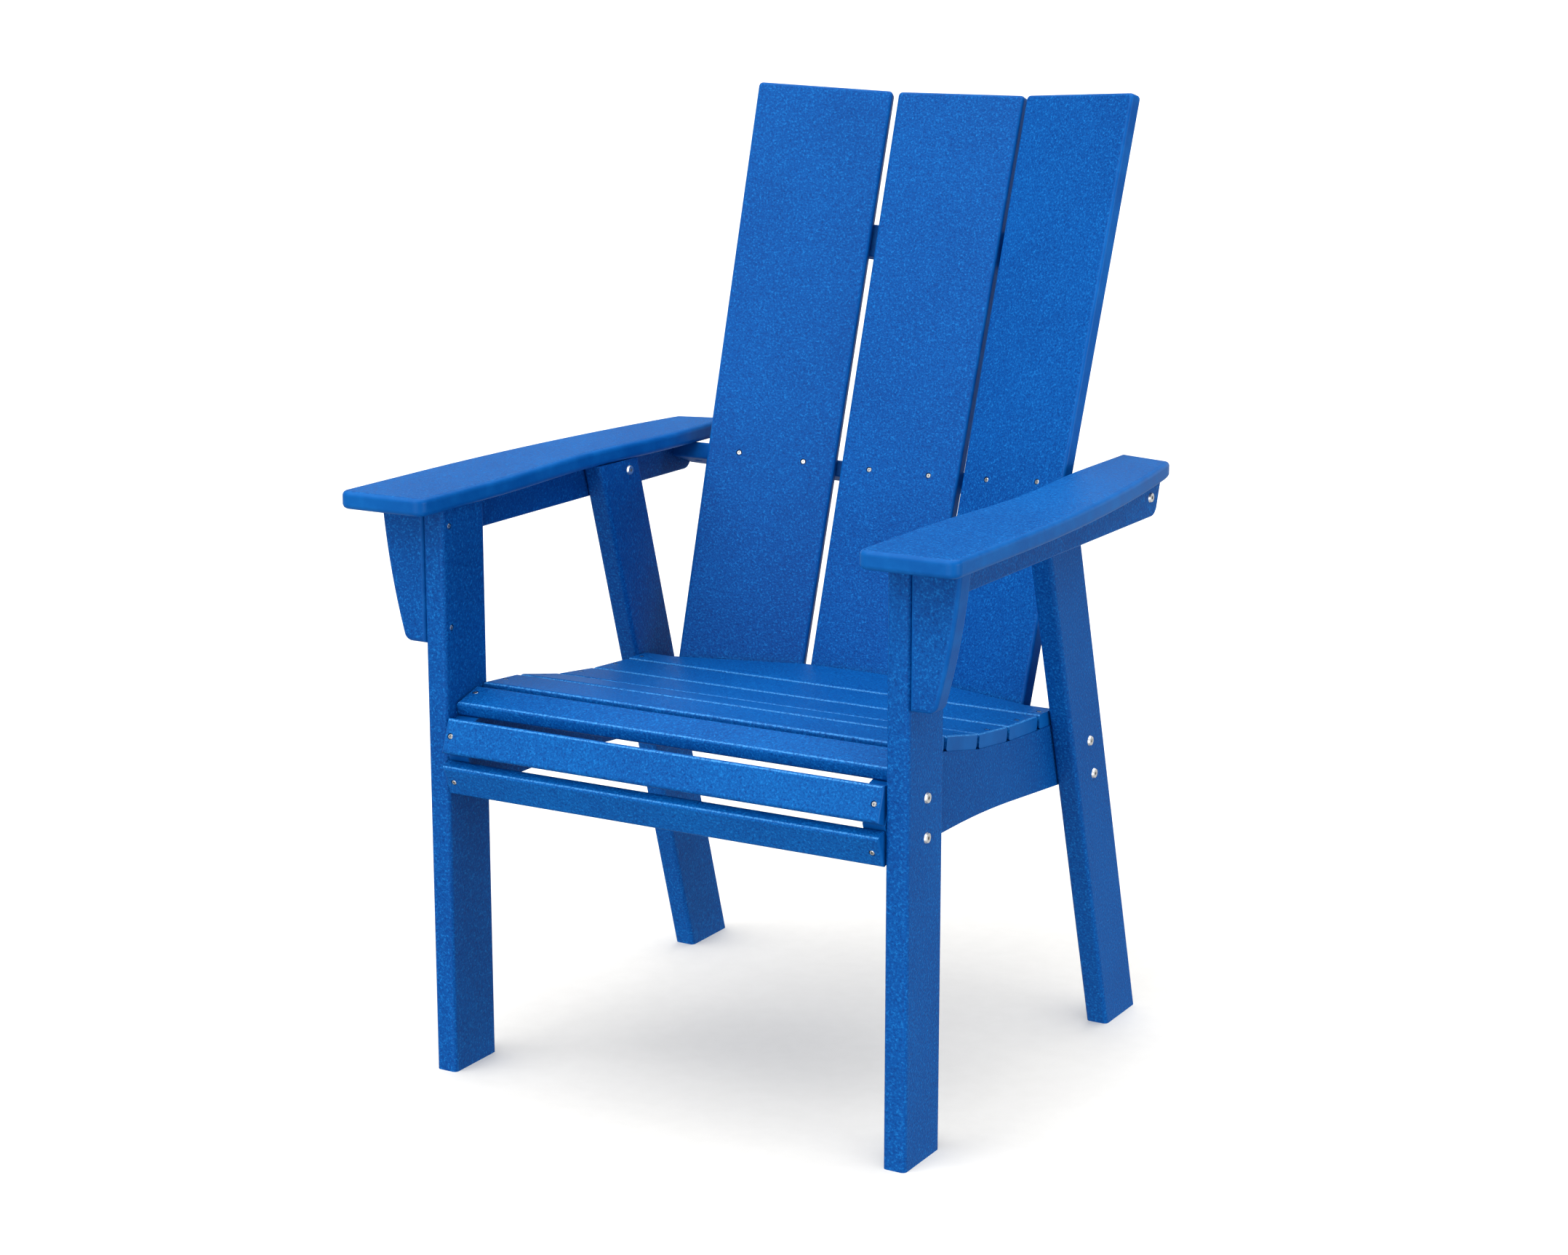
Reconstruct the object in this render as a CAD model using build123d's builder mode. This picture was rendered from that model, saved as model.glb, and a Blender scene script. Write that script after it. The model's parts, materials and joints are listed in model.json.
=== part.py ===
from build123d import *
import os
from math import cos, hypot, radians, sin, tan

# Upright adirondack chair in poly lumber: boards, slats and stainless fasteners.
# Millimetres. +Z up, the sitter faces -Y, X = 0 is the plane of symmetry, Z = 0 is the floor.

os.makedirs("parts", exist_ok=True)

# ---- driving dimensions -------------------------------------------------------------------
board = 25.4              # thickness of legs, rails and brackets
thin_board = 19.05        # thickness of the arms and the back braces
slat = 16.0               # thickness of every slat
board_edge = 4.8          # rounding along the edges of the boards
slat_edge = 3.4           # rounding along the edges of the slats
seat_width = 521.6        # across the slat ends, and between the inner faces of the legs
leg_width = 75.0          # front-to-back size of a leg board
arm_bottom = 617.5        # height of the underside of the arms
rear_leg_lean = 17.0      # degrees, the foot of the rear leg is behind its top
rear_foot_y = 487.7       # front edge of the rear leg at the floor
rail_height = 38.1        # of the rail under each arm
back_lean = 19.0          # degrees, the top of the back is behind its foot
back_y = 516.1            # the centre back slat's front face passes through (back_y, back_z)
back_z = 600.6
fan = 18.0                # degrees, each side back slat is turned in towards the sitter
play = 0.05               # clearance round every fastener
fit_gap = 0.8             # clearance between slat ends and legs
chair_middle = 313.7      # the middle of the chair's depth, behind the front legs' front faces

inner = seat_width / 2
outer = inner + board
rail_out = outer + board
down = (Align.CENTER, Align.CENTER, Align.MAX)
up = (Align.CENTER, Align.CENTER, Align.MIN)


def save(piece, name):
    """Sets a finished piece on the middle of the chair, names it and writes it."""
    placed = Pos(0, -chair_middle, 0) * piece.part
    placed.label = name
    export_step(placed, f"parts/{name}.step")


def save_twins(piece, name):
    """Writes a right-hand piece, and its mirror image for the left-hand side."""
    save(piece, f"right_{name}")
    with BuildPart() as twin:
        mirror(piece.part, about=Plane.YZ)
    save(twin, f"left_{name}")


def both_sides(spots):
    """The given fastener planes and their mirror images."""
    twins = []
    for spot in spots:
        at = (-spot.origin.X, spot.origin.Y, spot.origin.Z)
        facing = (-spot.z_dir.X, spot.z_dir.Y, spot.z_dir.Z)
        twins.append(Plane(origin=at, z_dir=facing))
    return list(spots) + twins


# ---- fasteners: each spot is a plane on the face under the head, facing out of the hole -----
class Fastener:
    """A recessed screw with a cross, or a bolt with a proud flanged head and a hex socket."""

    def __init__(self, shank, length, head, head_height, sink):
        self.shank = shank
        self.length = length
        self.head = head
        self.head_height = head_height
        self.sink = sink


slat_screw = Fastener(shank=2.0, length=28.0, head=3.1, head_height=1.4, sink=1.8)
board_screw = Fastener(shank=2.0, length=42.0, head=3.1, head_height=1.4, sink=1.8)
arm_screw = Fastener(shank=2.4, length=42.0, head=4.0, head_height=2.0, sink=10.0)
brace_screw = Fastener(shank=2.4, length=50.0, head=4.0, head_height=2.0, sink=2.2)
rear_screw = Fastener(shank=2.0, length=30.0, head=3.6, head_height=1.6, sink=6.0)
leg_bolt = Fastener(shank=3.2, length=board + 18.0, head=5.8, head_height=2.2, sink=0.0)
rail_bolt = Fastener(shank=3.2, length=board + 20.0, head=5.8, head_height=2.2, sink=0.0)
brace_bolt = Fastener(shank=3.2, length=board + 34.0, head=5.8, head_height=2.2, sink=0.0)
insert_radius = 5.0             # of the sleeves in the seat rails that take the leg bolts
insert_length = 16.0
barrel_radius = 5.0             # of the barrel nuts that lie across the end of a bolt
barrel_length = 15.0


def bore(kind, spots):
    """Drills the clearance for fasteners through whichever board is being built."""
    with Locations(*spots):
        Cylinder(kind.shank + play, kind.sink + kind.length + 0.5, align=down, mode=Mode.SUBTRACT)
        if kind.sink:
            Cylinder(kind.head + 0.35, kind.sink, align=down, mode=Mode.SUBTRACT)


def barrel_hole(spots):
    """Drills blind for barrel nuts: each spot is at the nut's middle, facing the mouth."""
    with Locations(*[spot.offset(-barrel_length / 2) for spot in spots]):
        Cylinder(barrel_radius + play, barrel_length + 14.0, align=up, mode=Mode.SUBTRACT)


def screws(kind, spots):
    """The screws of one group: shank, bevelled head and cross recess."""
    crown = kind.head_height / 2
    recess = kind.head_height + 0.4
    seats = [spot.offset(-kind.sink) for spot in spots]
    crowns = [seat.offset(crown) for seat in seats]
    tops = [seat.offset(kind.head_height) for seat in seats]
    with BuildPart() as group:
        with Locations(*seats):
            Cylinder(kind.shank, kind.length, align=down)
            Cylinder(kind.head, crown, align=up)
        with Locations(*crowns):
            Cone(kind.head, kind.head * 0.72, kind.head_height - crown, align=up)
        with Locations(*tops):
            Box(kind.head, kind.head * 0.28, recess, align=down, mode=Mode.SUBTRACT)
            Box(kind.head * 0.28, kind.head, recess, align=down, mode=Mode.SUBTRACT)
    return group


def bolts(kind, spots):
    """The bolts of one group: shank, flat tapered head and hex socket."""
    with BuildPart() as group:
        with Locations(*spots):
            Cylinder(kind.shank, kind.length, align=down)
            Cone(kind.head, kind.head - 0.9, kind.head_height, align=up)
        for spot in spots:
            with BuildSketch(spot.offset(kind.head_height)):
                RegularPolygon(2.0, 6)
            extrude(amount=-kind.head_height - 1.0, mode=Mode.SUBTRACT)
    return group


# ---- seat profile from the side: (y, z) of the rail's top edge, on which the slats lie -----
seat_knots = [
    (16.8, 392.8),      # under the front edge of the nose slat
    (61.0, 405.2),
    (128.0, 400.2),
    (202.0, 384.9),
    (273.0, 376.6),
    (346.6, 372.0),
    (450.0, 368.3),     # rear end of the rail
]
apron_top = (14.9, 392.2)       # the rail's nose behind the top of the upper apron
apron_fold = (1.0, 354.6)       # and where the two aprons meet
apron_foot = (15.0, 317.2)      # and behind the foot of the lower apron
lower_share = 0.93              # how much of the run from foot to fold the lower apron covers
lower_apron_top = [f + lower_share * (t - f) for f, t in zip(apron_foot, apron_fold)]
slat_gap = 6.0
apron_gap = 2.4
rail_belly = (212.0, 316.3)     # where the rail's underside turns down to the rear
rail_heel = (450.0, 294.0)
belly_radius = 1500.0
screw_inset = 8.5               # from a slat's end to its screws


def slat_plane(a, b):
    """Plane on the rail between two profile points: X across the chair, Y from a towards b."""
    middle = (0, (a[0] + b[0]) / 2, (a[1] + b[1]) / 2)
    along = Vector(0, b[0] - a[0], b[1] - a[1]).normalized()
    return Plane(origin=middle, x_dir=(1, 0, 0), z_dir=Vector(1, 0, 0).cross(along))


def span(a, b):
    return hypot(b[0] - a[0], b[1] - a[1])


def round_slat(piece, plane):
    """Rounds a slat's edges all round its top, and along its underside."""
    high = piece.edges().filter_by(lambda e: plane.to_local_coords(e.center()).Z > slat - 0.1)
    low = piece.edges().filter_by(Axis.X).filter_by(
        lambda e: plane.to_local_coords(e.center()).Z < 0.1)
    fillet(high + low, slat_edge)


def straight_slat(plane, width):
    """One slat lying on the rails, its four long edges rounded."""
    with BuildPart() as piece:
        with BuildSketch(plane):
            Rectangle(seat_width - 2 * fit_gap, width)
        extrude(amount=slat)
        round_slat(piece, plane)
        bore(slat_screw, seat_screw_spots + apron_screw_spots)
    return piece


seat_names = ["nose_slat", "seat_slat_1", "seat_slat_2", "seat_slat_3", "seat_slat_4"]
slat_planes = {}
slat_widths = {}
for number, slat_name in enumerate(seat_names):
    slat_planes[slat_name] = slat_plane(seat_knots[number], seat_knots[number + 1])
    slat_widths[slat_name] = span(seat_knots[number], seat_knots[number + 1]) - slat_gap
slat_planes["upper_apron_slat"] = slat_plane(apron_fold, apron_top)
slat_widths["upper_apron_slat"] = span(apron_fold, apron_top) - apron_gap
slat_planes["lower_apron_slat"] = slat_plane(apron_foot, lower_apron_top)
slat_widths["lower_apron_slat"] = span(apron_foot, lower_apron_top) - apron_gap

# ---- the back: a leaning plane, local X across, local Y up the slats, local Z to the sitter --
lean = radians(back_lean)
back = Plane(origin=(0, back_y, back_z), x_dir=(1, 0, 0), z_dir=(0, -cos(lean), sin(lean)))
side_start = 84.0               # across: where a side slat's inner edge stands
side_ahead = 3.1                # and how far ahead of the centre slat's face it is
side = Plane(back.location * Location((side_start, 0, side_ahead), (0, -fan, 0)))
top_width = 161.0               # a back slat's width at its top
taper = 0.0113                  # how much each long edge closes in for each mm down
back_slat_edge = 3.8
back_top = 442.8                # measured up the slats from the arm brace
back_foot = -318.0
upper_brace_up = 249.8          # lower edge of the upper brace
upper_brace_height = 38.1
lower_brace_up = -292.0         # middle of the lower brace

# ---- fastener spots -----------------------------------------------------------------------
def seat_spot(slat_name, along, inset=screw_inset):
    plane = slat_planes[slat_name]
    at = plane.offset(slat).from_local_coords((inner - inset, along, 0))
    return Plane(origin=at, z_dir=plane.z_dir)


slat_planes["rear_seat_slat"] = slat_plane(seat_knots[5], seat_knots[6])
seat_screw_spots = [seat_spot("nose_slat", 5.5)]
seat_screw_spots += [seat_spot(slat_name, 0) for slat_name in seat_names[1:]]
seat_screw_spots += [seat_spot("rear_seat_slat", -33.5)]
seat_screw_spots = both_sides(seat_screw_spots)
apron_screw_spots = both_sides(
    [seat_spot("upper_apron_slat", -0.5), seat_spot("lower_apron_slat", -1.2, 11.0)])

screw_pitch = 76.2              # between the two screws across one back slat
side_middle = 73.0              # middle of a side slat, from its inner edge


def back_spots(height):
    """Six spots in a row across the three back slats, on their front faces."""
    half = screw_pitch / 2
    centre = [Plane(origin=back.from_local_coords((x, height, 0)), z_dir=back.z_dir)
              for x in (-half, half)]
    right = [Plane(origin=side.from_local_coords((side_middle + x, height, 0)), z_dir=side.z_dir)
             for x in (-half, half)]
    return centre + both_sides(right)


arm_brace_spots = back_spots(0.0)
lower_brace_spots = back_spots(lower_brace_up)
upper_depth = 22.0              # front to back, of the upper brace


def rear_spots(height):
    """Six spots on the back of the upper brace, facing away from the sitter."""
    spots = []
    for spot in back_spots(height):
        at = spot.offset(-slat - upper_depth).origin
        spots.append(Plane(origin=at, z_dir=-spot.z_dir))
    return spots


upper_brace_spots = rear_spots(upper_brace_up + upper_brace_height / 2)
leg_bolt_spots = both_sides(
    [Plane(origin=(outer, y, z), z_dir=(1, 0, 0))
     for y, z in ((39.6, 377.9), (39.6, 337.2), (423.4, 345.8), (436.0, 306.3))])
insert_spots = [spot.offset(-board) for spot in leg_bolt_spots]
rail_bolt_spots = both_sides([Plane(origin=(inner, 357.5, 605.0), z_dir=(-1, 0, 0))])
brace_bolt_spots = both_sides([Plane(origin=(rail_out, 512.2, 601.6), z_dir=(1, 0, 0))])
bracket_spots = both_sides(
    [Plane(origin=(inner, board / 2, z), z_dir=(-1, 0, 0)) for z in (598.5, 490.4)])
arm_screw_spots = both_sides(
    [Plane(origin=((outer + rail_out) / 2, y, arm_bottom - rail_height), z_dir=(0, 0, -1))
     for y in (120.0, 250.0, 430.0)])
lower_screw_spots = both_sides(
    [Plane(origin=(inner, y, z), z_dir=(1, 0, 0)) for y, z in ((416.0, 326.0), (398.0, 332.0))])
rail_barrel_spots = both_sides(
    [Plane(origin=((outer + rail_out) / 2, 357.5, 604.0), z_dir=(0, 0, -1))])

# ---- legs ---------------------------------------------------------------------------------
with BuildPart() as front_leg:
    with BuildSketch(Plane.XY):
        with Locations(((inner + outer) / 2, leg_width / 2)):
            Rectangle(board, leg_width)
    extrude(amount=arm_bottom)
    fillet(front_leg.edges().filter_by(Axis.Z), board_edge)
    bore(leg_bolt, leg_bolt_spots)
    bore(board_screw, bracket_spots)
save_twins(front_leg, "front_leg")

drift = arm_bottom * tan(radians(rear_leg_lean))
rear_width = leg_width / cos(radians(rear_leg_lean))
with BuildPart() as rear_leg:
    with BuildSketch(Plane.YZ.offset(inner)):
        Polygon(
            (rear_foot_y, 0),
            (rear_foot_y + rear_width, 0),
            (rear_foot_y + rear_width - drift, arm_bottom),
            (rear_foot_y - drift, arm_bottom),
            align=None,
        )
    extrude(amount=board)
    slope = Axis((0, rear_foot_y, 0), (0, -drift, arm_bottom))
    fillet(rear_leg.edges().filter_by(slope), board_edge)
    bore(leg_bolt, leg_bolt_spots)
    bore(rail_bolt, rail_bolt_spots)
save_twins(rear_leg, "rear_leg")

# ---- seat rails ---------------------------------------------------------------------------
with BuildPart() as seat_rail:
    with BuildSketch(Plane.YZ.offset(inner - board)) as rail_side:
        Polygon(
            apron_top, *seat_knots[1:], rail_heel, rail_belly, apron_foot, apron_fold, align=None)
        turn = Vector(inner - board, *rail_belly)
        fillet(rail_side.vertices().sort_by_distance(turn)[0], belly_radius)
    extrude(amount=board)
    bore(leg_bolt, leg_bolt_spots)
    with Locations(*insert_spots):
        Cylinder(insert_radius + play, insert_length, align=down, mode=Mode.SUBTRACT)
    bore(slat_screw, seat_screw_spots + apron_screw_spots)
    bore(brace_screw, lower_screw_spots)
save_twins(seat_rail, "seat_rail")

# ---- seat slats and aprons ----------------------------------------------------------------
for slat_name, width in slat_widths.items():
    save(straight_slat(slat_planes[slat_name], width), slat_name)

rear_slat_front = -span(seat_knots[5], seat_knots[6]) / 2 + slat_gap / 2
rear_slat_middle = (seat_knots[5][0] + seat_knots[6][0]) / 2
slat_end = inner - fit_gap
rear_slat_outline = [           # (across, back): its rear edge follows the fanned back slats
    (slat_end, rear_slat_front),
    (slat_end, 384.0 - rear_slat_middle),
    (226.0, 384.0 - rear_slat_middle),
    (84.0, 432.4 - rear_slat_middle),
    (77.0, 435.6 - rear_slat_middle),
]
with BuildPart() as rear_seat_slat:
    with BuildSketch(slat_planes["rear_seat_slat"]):
        left_outline = [(-x, y) for x, y in reversed(rear_slat_outline)]
        Polygon(*rear_slat_outline, *left_outline, align=None)
    extrude(amount=slat)
    front_edges = rear_seat_slat.edges().filter_by(Axis.X).sort_by(Axis.Y)[:2]
    fillet(front_edges, slat_edge)
    bore(slat_screw, seat_screw_spots)
save(rear_seat_slat, "rear_seat_slat")

# ---- arms: straight in front, waisted inside, curving in behind -----------------------------
arm_front = -47.0
arm_inside = 252.0
arm_outside = 358.9
arm_waist = 262.4
arm_rear_inside = 569.0
arm_rear_outside = 550.5
arm_round = 5.4
with BuildPart() as arm:
    with BuildSketch(Plane.XY.offset(arm_bottom)) as arm_outline:
        with BuildLine():
            Line((arm_inside, arm_rear_inside), (arm_inside, 468))
            Spline(
                (arm_inside, 468), (arm_waist, 272), (arm_inside, 80),
                tangents=((0, -1), (0, -1)),
            )
            Polyline((arm_inside, 80), (arm_inside, arm_front), (arm_outside, arm_front), (arm_outside, 105))
            ThreePointArc((arm_outside, 105), (350.4, 301), (320.0, arm_rear_outside - 14))
            Polyline(
                (320.0, arm_rear_outside - 14),
                (316.5, arm_rear_outside),
                (arm_inside, arm_rear_inside),
            )
        make_face()
        corners = arm_outline.vertices()
        fillet(corners.group_by(Axis.Y)[0], 12.0)
        fillet(corners.sort_by_distance(Vector(316.5, arm_rear_outside, arm_bottom))[0], 11.0)
        fillet(corners.sort_by_distance(Vector(arm_inside, arm_rear_inside, arm_bottom))[0], 28.0)
    extrude(amount=thin_board)
    fillet(arm.faces().filter_by(Axis.Z).edges(), arm_round)
    bore(arm_screw, arm_screw_spots)
save_twins(arm, "arm")

# ---- the rail on edge under each arm, and the bracket outside each front leg ----------------
rail_front = board + 0.5
rail_rear_top = 541.0
rail_rear_bottom = 528.0
with BuildPart() as arm_rail:
    with BuildSketch(Plane.YZ.offset(outer)) as rail_outline:
        Polygon(
            (rail_front, arm_bottom),
            (rail_rear_top, arm_bottom),
            (rail_rear_bottom, arm_bottom - rail_height),
            (rail_front, arm_bottom - rail_height),
            align=None,
        )
        heel = Vector(outer, rail_rear_bottom, arm_bottom - rail_height)
        fillet(rail_outline.vertices().sort_by_distance(heel)[0], 14.0)
    extrude(amount=board)
    under = arm_rail.edges().filter_by(Axis.Y).group_by(Axis.Z)[0]
    fillet(under, 2.5)
    bore(rail_bolt, rail_bolt_spots)
    bore(brace_bolt, brace_bolt_spots)
    bore(arm_screw, arm_screw_spots)
    barrel_hole(rail_barrel_spots)
save_twins(arm_rail, "arm_rail")

bracket_foot = 473.0
bracket_top_width = 53.5
bracket_foot_width = 27.0
with BuildPart() as arm_bracket:
    with BuildSketch(Plane.XZ) as bracket_outline:
        with BuildLine():
            Line((outer, bracket_foot), (outer, arm_bottom))
            Line((outer, arm_bottom), (outer + bracket_top_width, arm_bottom))
            ThreePointArc(
                (outer + bracket_top_width, arm_bottom),
                (outer + 43.5, 543.0),
                (outer + bracket_foot_width, bracket_foot),
            )
            Line((outer + bracket_foot_width, bracket_foot), (outer, bracket_foot))
        make_face()
        toe = Vector(outer + bracket_foot_width, 0, bracket_foot)
        fillet(bracket_outline.vertices().sort_by_distance(toe)[0], 10.0)
    extrude(amount=-board)
    rims = arm_bracket.faces().filter_by(Axis.Y).edges()
    fillet(rims.filter_by(lambda e: e.center().Z < arm_bottom - 1), board_edge)
    bore(board_screw, bracket_spots)
save_twins(arm_bracket, "arm_bracket")

# ---- back slats ---------------------------------------------------------------------------
slat_length = back_top - back_foot
with BuildPart() as centre_back_slat:
    with BuildSketch(back) as centre_outline:
        half_top = top_width / 2
        half_foot = half_top - taper * slat_length
        Polygon(
            (-half_foot, back_foot), (half_foot, back_foot),
            (half_top, back_top), (-half_top, back_top), align=None)
        fillet(centre_outline.vertices().group_by(Axis.Z)[-1], 5.0)
    extrude(amount=-slat)
    fillet(centre_back_slat.faces().filter_by(back).edges(), back_slat_edge)
    bore(board_screw, arm_brace_spots + lower_brace_spots)
    bore(rear_screw, upper_brace_spots)
save(centre_back_slat, "centre_back_slat")

side_foot_inside = -5.4         # the side slat's corners, along its own face from side_start
side_foot_outside = 140.0
side_top_inside = 1.4
side_top_outside = 160.5
side_top_drop = 7.2             # its top slopes down outwards by this much
with BuildPart() as side_back_slat:
    with BuildSketch(side) as side_outline:
        Polygon(
            (side_foot_inside, back_foot),
            (side_foot_outside, back_foot),
            (side_top_outside, back_top - 0.6 - side_top_drop),
            (side_top_inside, back_top - 0.6),
            align=None,
        )
        fillet(side_outline.vertices().group_by(Axis.Z)[-2:], 5.0)
    extrude(amount=-slat)
    fillet(side_back_slat.faces().filter_by(side).edges(), back_slat_edge)
    bore(board_screw, arm_brace_spots + lower_brace_spots)
    bore(rear_screw, upper_brace_spots)
save_twins(side_back_slat, "back_slat")

# ---- back braces: boards square to the back, their front edge cut to the slats' rear faces ---
bend = 77.1                     # across: where the slats' rear faces turn
splay = tan(radians(fan))


def behind_slats(x):
    """Distance of the slats' rear faces ahead of the centre slat's front face, at x."""
    return -slat + max(0.0, x - bend) * splay


def brace_plane(height):
    """Plane square to the slats, facing down: local X across, local Y ahead to the sitter."""
    origin = back.from_local_coords((0, height, 0))
    return Plane(origin=origin, x_dir=(1, 0, 0), z_dir=-back.y_dir)


def mirrored_outline(half):
    """Closed outline from its right-hand half, listed from the front middle to the rear one."""
    return half + [(-x, y) for x, y in reversed(half)]


def brace(height, thickness, half, edge):
    """A brace centred at a height up the slats; its right half outline is (across, ahead)."""
    with BuildPart() as piece:
        with BuildSketch(brace_plane(height + thickness / 2)):
            Polygon(*mirrored_outline(half), align=None)
        extrude(amount=thickness)
        rims = piece.faces().filter_by(brace_plane(height)).edges()
        fillet(rims, edge)
    return piece


ahead_end = 25.4                # the arm brace's ends run straight under the arms
arm_brace_half = [
    (bend, behind_slats(bend)),
    (190.0, behind_slats(190.0)),
    (236.0, ahead_end),
    (outer, ahead_end),
    (outer, -18.0),
    (240.0, -30.0),
    (160.0, -46.0),
    (80.0, -57.0),
]
barrel_inset = 24.0             # from the brace's end to the middle of its barrel nut
brace_bolt_at = brace_bolt_spots[0].origin
barrel_at = (outer - barrel_inset, brace_bolt_at.Y, brace_bolt_at.Z)
brace_barrel_spots = both_sides([Plane(origin=barrel_at, z_dir=-back.y_dir)])
with BuildPart() as arm_back_brace:
    add(brace(0.0, thin_board, arm_brace_half, 2.5).part)
    bore(board_screw, arm_brace_spots)
    bore(brace_bolt, brace_bolt_spots)
    barrel_hole(brace_barrel_spots)
save(arm_back_brace, "arm_back_brace")

upper_brace_half = [
    (bend, behind_slats(bend)),
    (214.0, behind_slats(214.0)),
    (214.0, behind_slats(214.0) - upper_depth / cos(radians(fan))),
    (bend - 3.5, behind_slats(bend) - upper_depth),
]
with BuildPart() as upper_back_brace:
    upper_middle = upper_brace_up + upper_brace_height / 2
    add(brace(upper_middle, upper_brace_height, upper_brace_half, 3.0).part)
    bore(rear_screw, upper_brace_spots)
save(upper_back_brace, "upper_back_brace")

lower_end = inner - board
lower_brace_half = [
    (bend, behind_slats(bend)),
    (lower_end, behind_slats(lower_end)),
    (lower_end, -8.0),
    (205.0, -34.0),
    (80.0, -57.0),
]
with BuildPart() as lower_back_brace:
    add(brace(lower_brace_up, board, lower_brace_half, 2.5).part)
    bore(board_screw, lower_brace_spots)
    bore(brace_screw, lower_screw_spots)
save(lower_back_brace, "lower_back_brace")

# ---- fasteners ----------------------------------------------------------------------------
save(screws(slat_screw, seat_screw_spots), "seat_slat_screws")
save(screws(slat_screw, apron_screw_spots), "apron_screws")
save(screws(board_screw, arm_brace_spots), "arm_brace_screws")
save(screws(board_screw, lower_brace_spots), "lower_brace_screws")
save(screws(rear_screw, upper_brace_spots), "upper_brace_screws")
save(screws(brace_screw, lower_screw_spots), "brace_end_screws")
save(screws(board_screw, bracket_spots), "bracket_screws")
save(screws(arm_screw, arm_screw_spots), "arm_screws")
save(bolts(leg_bolt, leg_bolt_spots), "leg_bolts")
save(bolts(rail_bolt, rail_bolt_spots), "arm_rail_bolts")
save(bolts(brace_bolt, brace_bolt_spots), "brace_bolts")

with BuildPart() as bolt_inserts:
    with Locations(*insert_spots):
        Cylinder(insert_radius, insert_length, align=down)
    bore(leg_bolt, leg_bolt_spots)
save(bolt_inserts, "bolt_inserts")

with BuildPart() as barrel_nuts:
    with Locations(*brace_barrel_spots, *rail_barrel_spots):
        Cylinder(barrel_radius, barrel_length)
    bore(brace_bolt, brace_bolt_spots)
    bore(rail_bolt, rail_bolt_spots)
save(barrel_nuts, "barrel_nuts")
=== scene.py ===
"""Looks, light and camera for the adirondack chair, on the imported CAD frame."""
import json
import math

import bpy
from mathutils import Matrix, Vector

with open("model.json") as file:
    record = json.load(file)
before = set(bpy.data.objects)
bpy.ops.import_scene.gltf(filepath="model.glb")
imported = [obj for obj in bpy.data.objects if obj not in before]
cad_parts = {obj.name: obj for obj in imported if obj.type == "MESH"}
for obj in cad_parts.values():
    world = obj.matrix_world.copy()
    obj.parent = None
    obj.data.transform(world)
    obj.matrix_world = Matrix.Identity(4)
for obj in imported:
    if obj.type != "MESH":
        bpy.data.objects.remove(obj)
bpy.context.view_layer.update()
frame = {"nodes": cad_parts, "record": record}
nodes = frame["nodes"]

LEAN = math.radians(19)      # the back leans this far behind upright
FAN = math.radians(18)       # each side back slat turns in by this much
DEPTH_MIDDLE = 0.3137        # the row's origin, behind the front legs' front faces
BACK_FRONT = Vector((0, -math.cos(LEAN), math.sin(LEAN)))
BACK_UP = Vector((0, math.sin(LEAN), math.cos(LEAN)))
PEBBLES_PER_METRE = 430.0    # noise scale of the moulded faces' pebbling


# ---- small node-tree helpers ---------------------------------------------------------------
class Tree:
    """A material's node tree, with one call for each kind of node used here."""

    def __init__(self, name):
        self.material = bpy.data.materials.new(name)
        self.material.use_nodes = True
        self.nodes = self.material.node_tree.nodes
        self.links = self.material.node_tree.links
        self.shader = self.nodes["Principled BSDF"]

    def add(self, kind, settings=None, inputs=None):
        node = self.nodes.new(kind)
        for key, value in (settings or {}).items():
            setattr(node, key, value)
        for key, value in (inputs or {}).items():
            self.feed(node.inputs[key], value)
        return node

    def feed(self, socket, value):
        if isinstance(value, bpy.types.NodeSocket):
            self.links.new(value, socket)
        else:
            socket.default_value = value

    def math(self, operation, a, b=0.0):
        return self.add("ShaderNodeMath", {"operation": operation}, {0: a, 1: b}).outputs[0]

    def dot(self, a, b):
        node = self.add("ShaderNodeVectorMath", {"operation": "DOT_PRODUCT"}, {0: a, 1: b})
        return node.outputs["Value"]

    def remap(self, value, low, high, to_low=0.0, to_high=1.0):
        settings = {"interpolation_type": "SMOOTHSTEP"}
        inputs = {0: value, 1: low, 2: high, 3: to_low, 4: to_high}
        return self.add("ShaderNodeMapRange", settings, inputs).outputs[0]

    def noise(self, place, scale, detail=2.0, roughness=0.5):
        inputs = {"Vector": place, "Scale": scale, "Detail": detail, "Roughness": roughness}
        return self.add("ShaderNodeTexNoise", None, inputs).outputs["Fac"]

    def mix(self, factor, a, b):
        node = self.add("ShaderNodeMix", {"data_type": "RGBA"}, {"Factor": factor})
        self.feed(node.inputs["A"], a)
        self.feed(node.inputs["B"], b)
        return node.outputs["Result"]


# ---- materials -----------------------------------------------------------------------------
BLUE = (0.0008, 0.083, 0.300, 1)      # the body colour of most boards
TOPLIT_BLUE = (0.0010, 0.099, 0.328, 1)    # the arms' and seat slats', a little lighter: a lit copy of the body colour, painted light for their up-facing tops
DARK_TONE_AND_PIT_SHADE = (0.0004, 0.042, 0.190, 1)      # painted shade in the pits between pebbles; also the random darker clouding
LIGHT_TONE_AND_PEBBLE_GLINT = (0.012, 0.195, 0.520, 1)       # painted highlight on the pebbles' tops; also random pale streaks on smooth faces
ROUNDING_HIGHLIGHT = (0.006, 0.115, 0.370, 1)       # painted highlight along rounded edges
TOP_EDGE_GLINT = (0.060, 0.260, 0.580, 1)     # painted glint along the upper edges of slats


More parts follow.
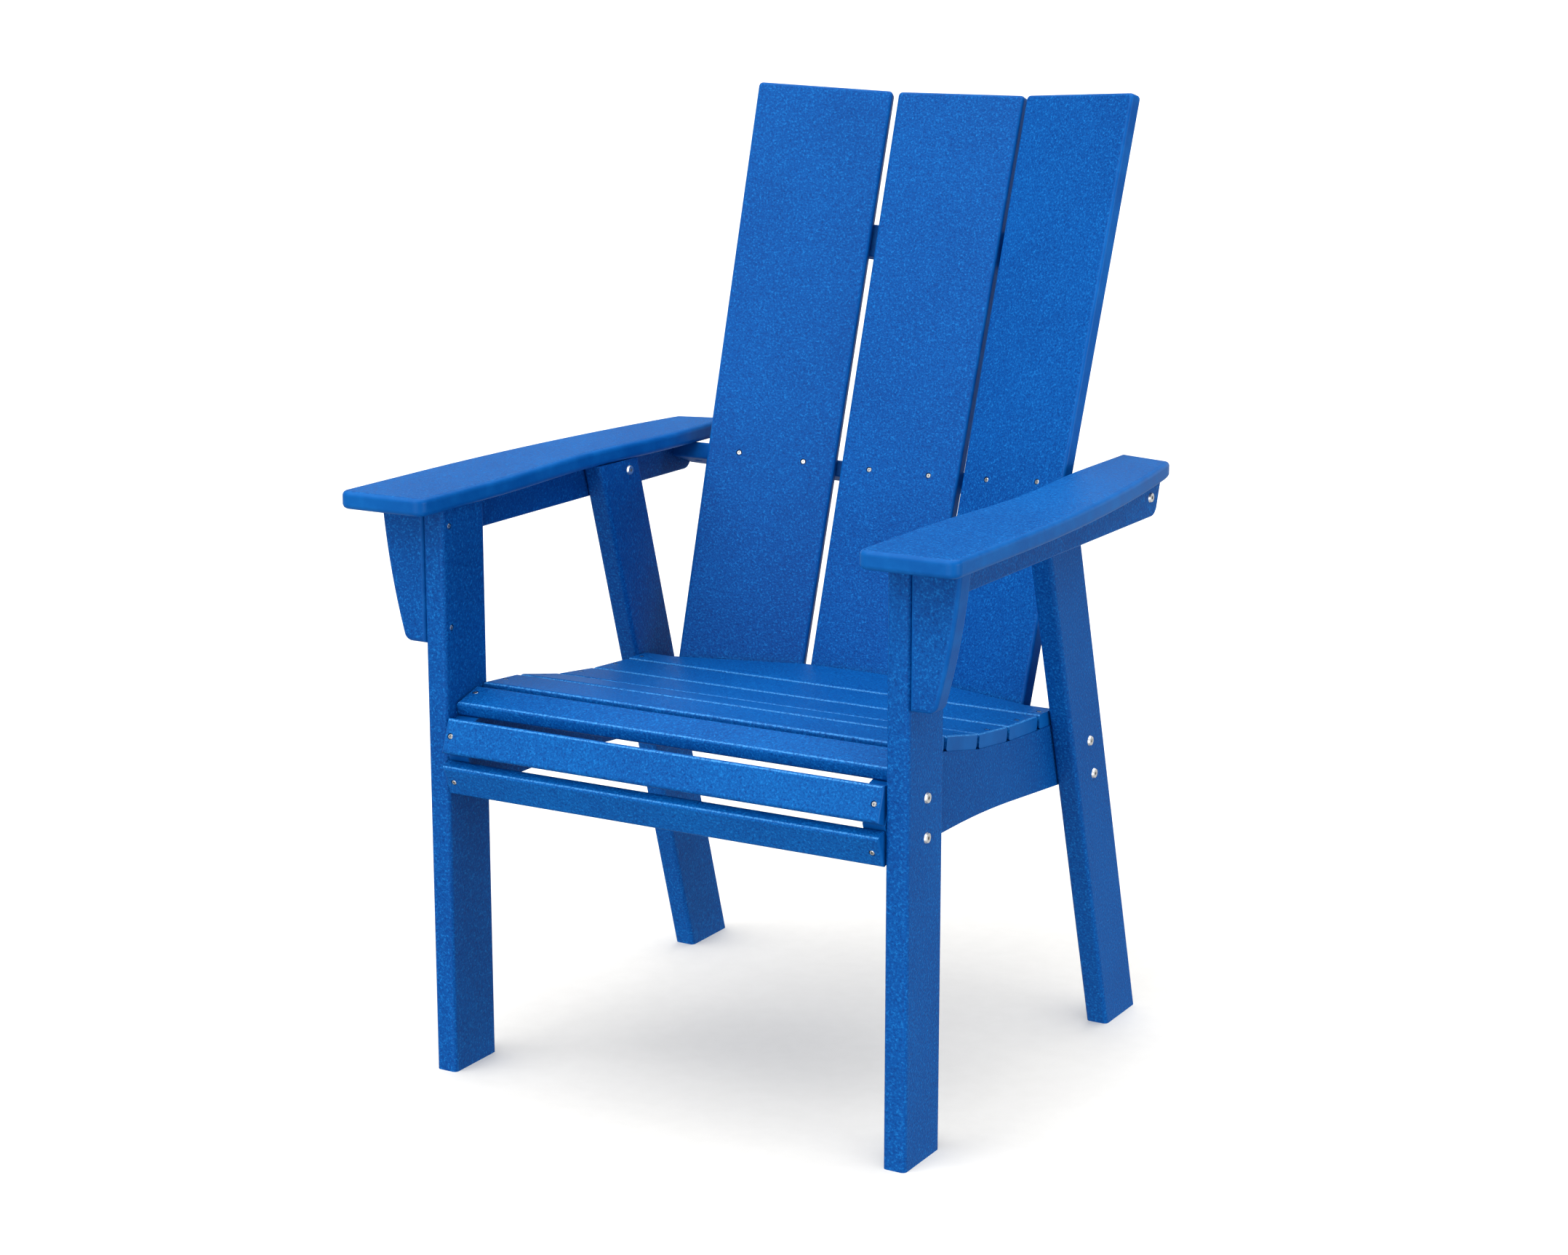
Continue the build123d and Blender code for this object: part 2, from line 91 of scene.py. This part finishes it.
def poly_lumber(name, axis, cut_ends, shift, glinting_edges, body):
    """Coloured plastic lumber: moulded faces are pebbled, sawn and routed ones are smooth.

    axis is square to the pebbled faces, or to the cut ones where cut_ends is true.
    shift moves the pattern, so that no two boards are alike. rubbed is for a slat whose upper
    rounded edges get a painted glint, a pale speckled highlight. body is the board's main
    colour.
    """
    t = Tree(name)
    place = t.add("ShaderNodeTexCoord").outputs["Object"]
    place = t.add("ShaderNodeVectorMath", {"operation": "ADD"}, {0: place, 1: shift}).outputs[0]
    normal = t.add("ShaderNodeNewGeometry").outputs["Normal"]
    along = t.math("ABSOLUTE", t.dot(normal, tuple(axis)))
    if cut_ends:
        pebbled = t.remap(along, 0.45, 0.80, 1.0, 0.0)
        edge = t.remap(along, 0.25, 0.65)
    else:
        pebbled = t.remap(along, 0.86, 0.99)
        edge = t.math("MULTIPLY", t.remap(along, 0.15, 0.6), t.remap(along, 0.8, 0.98, 1.0, 0.0))

    pebbles = t.noise(place, PEBBLES_PER_METRE, 2.5, 0.66)
    grain_inputs = {"Vector": place, "Scale": PEBBLES_PER_METRE}
    grains = t.add("ShaderNodeTexVoronoi", {"feature": "F1"}, grain_inputs)
    clouds = t.noise(place, 7.0, 3.0, 0.55)
    streaks = t.noise(place, 38.0, 4.0, 0.6)

    # Painted highlight on the pebbles' tops and painted shade in their pits, from the same noise
    # that raises the bump
    light = t.remap(pebbles, 0.50, 0.76)
    pit_shade = t.remap(pebbles, 0.50, 0.26)
    ground = t.mix(t.remap(clouds, 0.30, 0.70, 0.0, 0.30), body, DARK_TONE_AND_PIT_SHADE)
    speckled = t.mix(t.math("MULTIPLY", light, 0.80), ground, LIGHT_TONE_AND_PEBBLE_GLINT)
    speckled = t.mix(t.math("MULTIPLY", pit_shade, 0.85), speckled, DARK_TONE_AND_PIT_SHADE)
    smooth = t.mix(t.remap(streaks, 0.35, 0.75, 0.0, 0.22), ground, LIGHT_TONE_AND_PEBBLE_GLINT)
    colour = t.mix(pebbled, smooth, speckled)
    # Painted highlight along the rounded edges, broken up by the streaks
    rounding_sheen_mask = t.math("MULTIPLY", edge, t.remap(streaks, 0.40, 0.75, 0.10, 0.45))
    colour = t.mix(rounding_sheen_mask, colour, ROUNDING_HIGHLIGHT)
    # Painted glint on the upper rounded edges of seat slats, speckled by the pebbles
    if glinting_edges:
        upward = t.dot(normal, (0, 0, 1))
        top_side = t.remap(upward, 0.80, 0.94, 1.0, 0.0)
        rounding = t.math("MULTIPLY", t.remap(upward, 0.42, 0.60), top_side)
        glint_spots = t.math("MULTIPLY", rounding, t.remap(pebbles, 0.36, 0.62, 0.25, 0.95))
        colour = t.mix(glint_spots, colour, TOP_EDGE_GLINT)
    t.feed(t.shader.inputs["Base Color"], colour)

    gloss = t.math("MULTIPLY_ADD", pebbles, 0.30)
    gloss.node.inputs[2].default_value = 0.36
    matt = t.math("MULTIPLY_ADD", streaks, 0.16)
    matt.node.inputs[2].default_value = 0.34
    rough = t.add("ShaderNodeMix", {"data_type": "FLOAT"}, {"Factor": pebbled})
    t.feed(rough.inputs["A"], matt)
    t.feed(rough.inputs["B"], gloss)
    t.feed(t.shader.inputs["Roughness"], rough.outputs["Result"])

    height = t.math("MULTIPLY_ADD", grains.outputs["Distance"], -0.35)
    t.feed(height.node.inputs[2], pebbles)
    height = t.math("MULTIPLY", height, t.remap(pebbled, 0.0, 1.0, 0.06, 1.0))
    inputs = {"Strength": 0.70, "Distance": 0.0008, "Height": height}
    t.feed(t.shader.inputs["Normal"], t.add("ShaderNodeBump", None, inputs).outputs[0])
    t.shader.inputs["Specular IOR Level"].default_value = 0.14
    return t.material


def stainless(name, colour, roughness, turned):
    """Satin stainless steel with fine turning marks and a little unevenness."""
    t = Tree(name)
    place = t.add("ShaderNodeTexCoord").outputs["Object"]
    marks = t.noise(place, turned, 3.0, 0.7)
    blotches = t.noise(place, 260.0, 3.0, 0.6)
    tone = [c * 0.72 for c in colour]
    t.feed(t.shader.inputs["Base Color"],
           t.mix(t.remap(blotches, 0.35, 0.75), (*colour, 1), (*tone, 1)))
    t.feed(t.shader.inputs["Roughness"],
           t.remap(marks, 0.25, 0.75, roughness - 0.08, roughness + 0.12))
    inputs = {"Strength": 0.35, "Distance": 0.0001, "Height": marks}
    t.feed(t.shader.inputs["Normal"], t.add("ShaderNodeBump", None, inputs).outputs[0])
    t.shader.inputs["Metallic"].default_value = 1.0
    return t.material


def side_normal(sign):
    """The face direction of a side back slat: the back's, turned about the back's own up."""
    across = Vector((1, 0, 0))
    return BACK_FRONT * math.cos(FAN) - across * sign * math.sin(FAN)


X, Y, Z = Vector((1, 0, 0)), Vector((0, 1, 0)), Vector((0, 0, 1))
boards = {
    "right_front_leg": (Z, True),
    "left_front_leg": (Z, True),
    "right_rear_leg": (Z, True),
    "left_rear_leg": (Z, True),
    "right_seat_rail": (X, False),
    "left_seat_rail": (X, False),
    "right_arm_rail": (X, False),
    "left_arm_rail": (X, False),
    "right_arm_bracket": (Y, False),
    "left_arm_bracket": (Y, False),
    "right_arm": (Z, False),
    "left_arm": (Z, False),
    "nose_slat": (X, True),
    "seat_slat_1": (X, True),
    "seat_slat_2": (X, True),
    "seat_slat_3": (X, True),
    "seat_slat_4": (X, True),
    "rear_seat_slat": (X, True),
    "upper_apron_slat": (X, True),
    "lower_apron_slat": (X, True),
    "centre_back_slat": (BACK_FRONT, False),
    "right_back_slat": (side_normal(1), False),
    "left_back_slat": (side_normal(-1), False),
    "arm_back_brace": (BACK_UP, False),
    "upper_back_brace": (BACK_UP, False),
    "lower_back_brace": (BACK_UP, False),
}
screw_steel = stainless("screw_steel", (0.62, 0.62, 0.62), 0.30, 1500.0)
bolt_steel = stainless("bolt_steel", (0.80, 0.80, 0.79), 0.34, 1100.0)
slots = {part["node"]: part["material_slot"] for part in frame["record"]["subparts"]}
for number, name in enumerate(sorted(nodes)):
    if name in boards:
        axis, cut_ends = boards[name]
        shift = (number * 0.37, number * 0.91, number * 0.53)
        # Seat slats get a painted glint on their upper rounded edges
        glinting_edges = slots[name] == "seat_slats"
        # Arms and seat slats get a lighter copy of the blue, painted light for their up-facing
        # tops
        body = TOPLIT_BLUE if slots[name] in ("arms", "seat_slats") else BLUE
        material = poly_lumber(f"poly_{name}", axis, cut_ends, shift, glinting_edges, body)
    else:
        material = bolt_steel if slots[name] == "bolts" else screw_steel
    nodes[name].data.materials.clear()
    nodes[name].data.materials.append(material)


# ---- floor, light and camera ----------------------------------------------------------------
def pale_floor():
    """A wide paper floor that catches shadows and lets the light from below through."""
    bpy.ops.mesh.primitive_plane_add(size=400, location=(0, 0, 0))
    floor = bpy.context.object
    floor.name = "floor"
    paper = Tree("floor_paper")
    spot = paper.add("ShaderNodeTexCoord").outputs["Object"]
    fleck = paper.remap(paper.noise(spot, 40.0, 4.0, 0.6), 0.3, 0.7)
    paper.feed(paper.shader.inputs["Base Color"],
               paper.mix(fleck, (0.582, 0.571, 0.545, 1), (0.597, 0.586, 0.560, 1)))
    paper.shader.inputs["Roughness"].default_value = 0.8
    paper.shader.inputs["Emission Color"].default_value = (1, 1, 1, 1)
    paper.shader.inputs["Emission Strength"].default_value = 0.20
    floor.data.materials.append(paper.material)
    floor.visible_diffuse = False
    floor.visible_glossy = False
    floor.visible_shadow = False


def studio_sky(stops):
    """White light by height: stops are (degrees above the horizon, strength)."""
    world = bpy.data.worlds.new("studio")
    bpy.context.scene.world = world
    world.use_nodes = True
    tree = world.node_tree
    place = tree.nodes.new("ShaderNodeTexCoord")
    split = tree.nodes.new("ShaderNodeSeparateXYZ")
    height = tree.nodes.new("ShaderNodeMapRange")
    height.inputs["From Min"].default_value = -1
    ramp = tree.nodes.new("ShaderNodeValToRGB")
    tree.links.new(place.outputs["Generated"], split.inputs[0])
    tree.links.new(split.outputs["Z"], height.inputs[0])
    tree.links.new(height.outputs[0], ramp.inputs[0])
    tree.links.new(ramp.outputs[0], tree.nodes["Background"].inputs["Color"])
    tones = ramp.color_ramp.elements
    while len(tones) > 1:
        tones.remove(tones[-1])
    for number, (degrees, strength) in enumerate(stops):
        place_on_ramp = (math.sin(math.radians(degrees)) + 1) / 2
        tone = tones[0] if number == 0 else tones.new(place_on_ramp)
        tone.position = place_on_ramp
        tone.color = (strength, strength, strength, 1)


def soft_sun(name, turn, height, softness, strength):
    """A wide far light. Turn is degrees from straight in front of the chair, towards +X."""
    data = bpy.data.lights.new(name, "SUN")
    data.energy = strength
    data.angle = math.radians(softness)
    lamp = bpy.data.objects.new(name, data)
    bpy.context.scene.collection.objects.link(lamp)
    turn, height = math.radians(turn), math.radians(height)
    from_where = Vector((math.sin(turn) * math.cos(height),
                         -math.cos(turn) * math.cos(height), math.sin(height)))
    lamp.rotation_euler = (-from_where).to_track_quat("-Z", "Y").to_euler()


pale_floor()
studio_sky([(-4, 0.55), (-2, 0.9), (10, 0.9), (15, 0.2), (36, 0.2), (44, 1.6), (90, 1.6)])
soft_sun("front_left", -35, 45, 40, 0.75)
soft_sun("front", 0, 25, 40, 0.75)
soft_sun("front_low", 5, -12, 50, 0.85)
soft_sun("right", 90, 2, 14, 1.05)
soft_sun("above", 0, 80, 50, 0.60)
soft_sun("behind", 180, 60, 40, 0.35)
view = bpy.context.scene.view_settings
view.view_transform = "Standard"
view.look = "Medium High Contrast"

lens = bpy.data.cameras.new("camera")
lens.lens = 70
lens.sensor_width = 36
camera = bpy.data.objects.new("camera", lens)
bpy.context.scene.collection.objects.link(camera)
camera.location = (1.59548, -2.50737 - DEPTH_MIDDLE, 1.20872)
camera.rotation_euler = (math.radians(77), 0, math.radians(30))
bpy.context.scene.camera = camera
